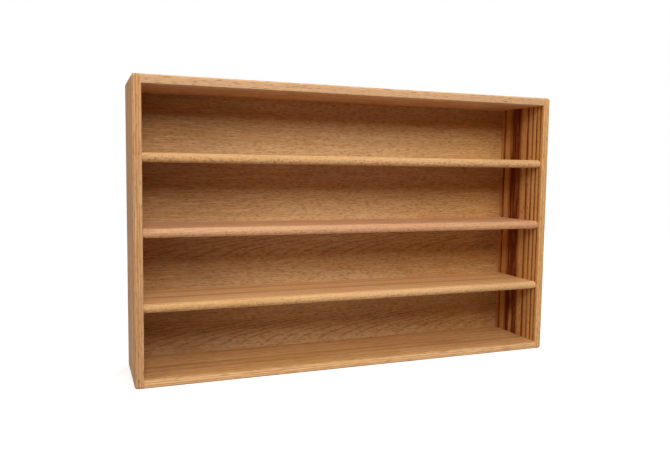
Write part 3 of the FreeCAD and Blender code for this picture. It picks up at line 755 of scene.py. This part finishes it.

# %% [markdown]
# # Top, bottom and shelves
# These lie flat, with the grain along the cabinet. On their narrow front edges we look at the rings almost
# end-on from the side, so the figure closes up into fine lines with a few dark dashes. The shelves' round
# noses cut through the layers at a changing angle, which opens many short vessels: that is their speckled
# look. The speckles are drawn deeper on the lower halves, and that extra depth is painted shade.

# %% Oak of the horizontal boards
# Each board's front face carries painted light and shade: paler on the bottom, darker on the top and the
# shelves.
HORIZONTAL_BOARDS = {
    "top_panel": {
        "pith": (-0.03, 0.43),
        "year_width": 0.0055,
        "spring_depth": 0.35,
        "edge_calm": 0.85,
        "edge_lift": -0.13,
        "edge_bleach": 0.3,
        "dash_length": 0.03,
        "dash_width": 0.0016,
        "dash_amount": 0.5,
        "dash_depth": 0.7,
        "pale_dash_depth": 0.55,
        "pale": colour(0.77, 0.45, 0.235),
        "warm": colour(0.69, 0.365, 0.165),
        "spring": colour(0.3, 0.11, 0.04),
        "seed": 3.0,
    },
    "bottom_panel": {
        "pith": (-0.02, -0.12),
        "year_width": 0.0048,
        "spring_share": 0.22,
        "spring_depth": 0.35,
        "edge_calm": -0.8,
        "edge_lift": 0.28,
        "edge_bleach": 0.5,
        "dash_length": 0.05,
        "dash_width": 0.0022,
        "dash_amount": 0.5,
        "dash_depth": 0.5,
        "pale_dash_depth": 0.5,
        "pale": colour(0.68, 0.375, 0.155),
        "warm": colour(0.6, 0.3, 0.1),
        "spring": colour(0.24, 0.085, 0.02),
        "seed": 4.0,
    },
    "shelf_upper": {
        "pith": (0.03, 0.32),
        "year_width": 0.006,
        "spring_depth": 0.15,
        "edge_calm": 0.6,
        "edge_lift": -0.04,
        "dash_amount": 0.4,
        "dash_depth": 0.3,
        "pale_dash_depth": 0.6,
        "speckle_amount": 0.6,
        "speckle_depth": 0.65,
        "pale": colour(0.78, 0.46, 0.215),
        "warm": colour(0.7, 0.38, 0.155),
        "spring": colour(0.3, 0.125, 0.04),
        "seed": 5.0,
    },
    "shelf_middle": {
        "pith": (-0.05, 0.16),
        "year_width": 0.0058,
        "spring_depth": 0.25,
        "edge_calm": 0.6,
        "edge_lift": -0.06,
        "dash_amount": 0.4,
        "dash_depth": 0.35,
        "pale_dash_depth": 0.7,
        "speckle_amount": 0.6,
        "speckle_depth": 0.5,
        "pale": colour(0.78, 0.45, 0.24),
        "warm": colour(0.71, 0.365, 0.18),
        "spring": colour(0.36, 0.125, 0.05),
        "seed": 6.0,
    },
    "shelf_lower": {
        "pith": (0.02, 0.34),
        "year_width": 0.0062,
        "spring_depth": 0.4,
        "edge_calm": 0.8,
        "edge_lift": -0.1,
        "dash_amount": 0.4,
        "dash_depth": 0.35,
        "pale_dash_depth": 0.6,
        "speckle_amount": 0.6,
        "speckle_depth": 0.55,
        "pale": colour(0.88, 0.53, 0.25),
        "warm": colour(0.78, 0.43, 0.17),
        "spring": colour(0.35, 0.145, 0.05),
        "seed": 7.0,
    },
}
for node, facts in HORIZONTAL_BOARDS.items():
    dress(node, oak_material(f"oak_{node}", node, "across", **facts))
print(len(HORIZONTAL_BOARDS), "horizontal boards dressed")

# %% [markdown]
# # The back
# The back is a thin sheet faced with sliced oak, its grain along the cabinet. The upper half is plain and
# straight. In the two lower bays lines sweep up to the right and flatten out, and they do it twice, one
# bay above the other: that is how leaves from the same log look when they are laid one after the other.
#
# Lines that open like that are made by a knife that doesn't run quite parallel to the trunk. So the pith
# drifts away from the sheet along the grain, each leaf counts its height from its own lower seam, and the
# rings are drawn only where the leaf shows them: a mask keeps the spring wood to a band of the leaf.

# %% Oak veneer of the back
# Heights above the floor: the leaves' lower seams, from where the second one counts, and the plain wood.
LEAF_SEAMS = (0.022, 0.236)
LEAF_CUT = 0.165
PLAIN_ABOVE = 0.33
# The sweeping lines of a leaf come in above its seam and fade out before this height.
SWEEP_START = 0.02
SWEEP_HEIGHT = 0.085
SWEEP_DEPTH, PLAIN_DEPTH = 0.56, 0.06
# Where the painted shade of the left end gives way to the middle's tone, and where that of the right end
# takes over.
LEFT_PAINTED_SHADE_ENDS = (-0.5, -0.12)
RIGHT_PAINTED_SHADE_STARTS = (0.0, 0.45)
# The two tones of the sheet at its left end, in its middle and at its right end: the ends carry painted
# shade, darker at the left and darker and warmer at the right.
SHEET_TONES_WITH_PAINTED_SHADE = {
    "Pale": (colour(0.46, 0.275, 0.122), colour(0.675, 0.437, 0.216), colour(0.615, 0.356, 0.135)),
    "Warm": (colour(0.42, 0.232, 0.084), colour(0.605, 0.348, 0.145), colour(0.565, 0.284, 0.084)),
}


def veneer_material():
    """The back panel's oak, with sweeping lines in a band of each lower leaf and painted shade toward its
    ends.
    """
    material = oak_material(
        "oak_veneer_back",
        "back_panel",
        "across",
        (-0.06, 0.0),
        gloss=0.03,
        year_width=0.0024,
        drift=-0.045,
        wander=0.0009,
        wander_length=0.25,
        unevenness=0.3,
        spring_share=0.17,
        edge_calm=0.0,
        dash_length=0.02,
        dash_width=0.0021,
        dash_amount=0.6,
        dash_depth=0.42,
        pale_dash_depth=0.5,
        ray_amount=0.4,
        ray_depth=0.12,
        spring=colour(0.26, 0.095, 0.02),
        seed=8.0,
    )
    tree, oak, (along, across, height) = oak_of(material)
    second = calc(tree, "GREATER_THAN", height, LEAF_CUT)
    seam = calc(tree, "MULTIPLY_ADD", second, LEAF_SEAMS[1] - LEAF_SEAMS[0], LEAF_SEAMS[0])
    plain = calc(tree, "GREATER_THAN", height, PLAIN_ABOVE)
    in_leaf = calc(tree, "ADD", calc(tree, "SUBTRACT", height, seam), plain)
    plug(tree, oak.inputs["Place"], join(tree, along, across, in_leaf))
    rising = fade(tree, in_leaf, 0.0, SWEEP_START)
    ending = fade(tree, in_leaf, SWEEP_HEIGHT * 0.75, SWEEP_HEIGHT, 1.0, 0.0)
    band = calc(tree, "MULTIPLY", rising, ending)
    plug(tree, oak.inputs["Spring Depth"], calc(tree, "MULTIPLY_ADD", band, SWEEP_DEPTH, PLAIN_DEPTH))
    # Painted shade: the sheet's tones darken toward its left end, and darken and warm toward its right end.
    in_left_painted_shade = fade(tree, along, *LEFT_PAINTED_SHADE_ENDS, 1.0, 0.0)
    in_right_painted_shade = fade(tree, along, *RIGHT_PAINTED_SHADE_STARTS)
    for name, (left, middle, right) in SHEET_TONES_WITH_PAINTED_SHADE.items():
        tone = mixed(tree, in_right_painted_shade, mixed(tree, in_left_painted_shade, middle, left), right)
        plug(tree, oak.inputs[name], tone)
    return material


dress("back_panel", veneer_material())
print("back dressed")

# %% [markdown]
# # Dowels and metal
# The dowels are raw birch: pale, fine and nearly without figure. At the rear are the heads of the brads,
# in bright drawn wire, and two keyhole plates with their screws, which are zinc-plated. Zinc isn't a flat
# grey. It grows in crystals that catch the light differently, it has a cloudy film, and it scuffs where
# the wall screw slides. Those marks change the colour and, above all, the roughness.

# %% Birch of the dowels
BIRCH_FIBRE_RATES = (60.0, 1500.0, 1500.0)


def birch_material():
    """Raw birch with fine fibres."""
    material, tree, shader = new_material("birch_dowel")
    place = add_node(tree, "ShaderNodeTexCoord").outputs["Object"]
    fibres = noise(tree, stretched(tree, place, BIRCH_FIBRE_RATES), 2.0)[0]
    strokes = place_group(tree, STROKES, {"Place": place, "Length": 0.006, "Width": 0.0003, "Amount": 0.4})
    wood = mixed(tree, fade(tree, fibres, 0.3, 0.7), colour(0.66, 0.48, 0.28), colour(0.72, 0.55, 0.35))
    wood = mixed(tree, calc(tree, "MULTIPLY", strokes[0], 0.4), wood, colour(0.5, 0.33, 0.17))
    plug(tree, shader.inputs["Base Color"], wood)
    plug(tree, shader.inputs["Roughness"], fade(tree, fibres, 0.2, 0.8, 0.6, 0.75))
    raise_relief(tree, shader, fibres, GROOVE_DEPTH)
    return material


birch = birch_material()
dowels = [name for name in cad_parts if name.startswith("dowel_")]
for name in dowels:
    dress(name, birch)
print(len(dowels), "dowels dressed")

# %% Steel with a finish of its own
FILM_RATES = (180.0, 180.0, 180.0)
SCRATCHES = {"Length": 0.004, "Width": 0.00012, "Amount": 0.3}
SCRATCH_DEPTH = 0.00005


def metal_material(name, bright, dull, crystal_size, roughness):
    """Bare or plated steel with crystals, a cloudy film and fine scratches."""
    material, tree, shader = new_material(name)
    place = add_node(tree, "ShaderNodeTexCoord").outputs["Object"]
    crystals = add_node(tree, "ShaderNodeTexVoronoi", feature="F1")
    plug(tree, crystals.inputs["Vector"], place)
    crystals.inputs["Scale"].default_value = 1.0 / crystal_size
    grain = split(tree, crystals.outputs["Color"])[0]
    film = noise(tree, stretched(tree, place, FILM_RATES), 3.0)[0]
    scratches = place_group(tree, STROKES, {"Place": place, **SCRATCHES})
    tone = calc(tree, "MULTIPLY_ADD", grain, 0.4, fade(tree, film, 0.3, 0.7, 0.0, 0.6))
    plug(tree, shader.inputs["Base Color"], mixed(tree, tone, bright, dull))
    rough = calc(tree, "MULTIPLY_ADD", tone, 0.2, roughness)
    plug(tree, shader.inputs["Roughness"], calc(tree, "MULTIPLY_ADD", scratches[0], 0.15, rough))
    shader.inputs["Metallic"].default_value = 1.0
    raise_relief(tree, shader, calc(tree, "MULTIPLY_ADD", scratches[0], -1.0, grain), SCRATCH_DEPTH)
    return material


zinc = metal_material(
    "zinc_plate",
    bright=colour(0.4, 0.4, 0.39),
    dull=colour(0.25, 0.25, 0.24),
    crystal_size=0.003,
    roughness=0.42,
)
wire = metal_material(
    "bright_wire",
    bright=colour(0.62, 0.61, 0.6),
    dull=colour(0.36, 0.35, 0.34),
    crystal_size=0.0012,
    roughness=0.32,
)
hangers = [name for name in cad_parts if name.startswith("hanger_")]
for name in hangers:
    dress(name, zinc)
dress("back_panel_brads", wire)
print(len(hangers), "hanger pieces and the brads dressed")

# %% [markdown]
# # Floor
# The floor is white to the camera by its colour and a little glow that only camera and mirror rays see.
# The cabinet's shadow still falls on it, and the glow puts no extra light on the wood.
#
# The light that a floor throws back does reach the wood, though, and the shade under the shelves tells
# that it was little. So the floor's own tone is pale near the cabinet and falls off with distance, as on
# a table of limited size, while its glow rises to keep it white.

# %% Floor
FLOOR_REACH = 6.0
NEAR_GLOW, FAR_GLOW = 0.66, 1.0
NEAR_TONE, FAR_TONE = 0.62, 0.1
# The distances from the middle of the cabinet over which the tone falls and the glow rises.
TONE_FADE = (0.4, 1.5)
GLOW_FADE = (0.6, 1.6)


def seen_directly(tree):
    """One where a ray comes from the camera, a mirror or through glass."""
    path = add_node(tree, "ShaderNodeLightPath").outputs
    seen = calc(tree, "MAXIMUM", path["Is Camera Ray"], path["Is Glossy Ray"])
    return calc(tree, "MAXIMUM", seen, path["Is Transmission Ray"])


def make_floor():
    """A large square under the cabinet."""
    corners = [(x * FLOOR_REACH, y * FLOOR_REACH, 0.0) for x, y in ((-1, -1), (1, -1), (1, 1), (-1, 1))]
    mesh = bpy.data.meshes.new("floor")
    mesh.from_pydata(corners, [], [(0, 1, 2, 3)])
    floor = bpy.data.objects.new("floor", mesh)
    bpy.context.scene.collection.objects.link(floor)
    material, tree, shader = new_material("pale_floor")
    shader.inputs["Roughness"].default_value = 0.9
    shader.inputs["Specular IOR Level"].default_value = 0.0
    place = add_node(tree, "ShaderNodeTexCoord").outputs["Object"]
    length = add_node(tree, "ShaderNodeVectorMath", operation="LENGTH")
    plug(tree, length.inputs[0], place)
    tone = fade(tree, length.outputs["Value"], *TONE_FADE, NEAR_TONE, FAR_TONE)
    plug(tree, shader.inputs["Base Color"], join(tree, tone, tone, tone))
    glow = fade(tree, length.outputs["Value"], *GLOW_FADE, NEAR_GLOW, FAR_GLOW)
    shader.inputs["Emission Color"].default_value = colour(1.0, 1.0, 1.0)
    plug(tree, shader.inputs["Emission Strength"], calc(tree, "MULTIPLY", seen_directly(tree), glow))
    mesh.materials.append(material)
    return floor


print(make_floor().name, "reaches", FLOOR_REACH, "m each way")

# %% [markdown]
# # Backdrop and light
# The shading inside the bays tells where the light came from. Each piece of the back is dark under its
# shelf and brightens evenly down to the next one: so the main light is a large one, above the camera and
# near. The shelves' tops are bright, which asks for a second one overhead, and the outer left face and
# the right end wall are lit by a third from the left. A fourth stands behind: the camera never sees what
# it lights, but someone who turns the model will.
#
# The world is white for what the camera and mirrors see, and nearly dark for the rest, so the bays keep
# their shade.

# %% World and lamps
WORLD_FILL = 0.005
LAMPS_AIM = (0.0, -0.09, 0.33)
# Place, width and height in metres, and power in watts.
SOFTBOXES = {
    "front_softbox": ((0.0, -1.6, 1.36), 2.0, 0.7, 32.0),
    "overhead_softbox": ((0.0, -0.3, 2.7), 1.4, 1.4, 16.0),
    "left_softbox": ((-2.1, -0.6, 1.5), 1.4, 1.4, 21.0),
    "rear_softbox": ((2.0, 2.2, 1.9), 1.8, 1.8, 85.0),
}


def white_world():
    """White to the camera and to mirrors, and a faint fill for everything else."""
    world = bpy.data.worlds.new("studio")
    world.use_nodes = True
    bpy.context.scene.world = world
    tree = world.node_tree
    background = tree.nodes["Background"]
    background.inputs["Color"].default_value = colour(1.0, 1.0, 1.0)
    plug(tree, background.inputs["Strength"], fade(tree, seen_directly(tree), 0.0, 1.0, WORLD_FILL, 1.0))


def softbox(name, place, width, height, watts):
    """A rectangular white lamp that looks at the cabinet."""
    data = bpy.data.lights.new(name, "AREA")
    data.shape = "RECTANGLE"
    data.size = width
    data.size_y = height
    data.energy = watts
    lamp = bpy.data.objects.new(name, data)
    lamp.location = place
    lamp.rotation_euler = (Vector(LAMPS_AIM) - Vector(place)).to_track_quat("-Z", "Y").to_euler()
    bpy.context.scene.collection.objects.link(lamp)


white_world()
for name, facts in SOFTBOXES.items():
    softbox(name, *facts)
bpy.context.scene.view_settings.view_transform = "Standard"
print("world and", len(SOFTBOXES), "lamps ready")
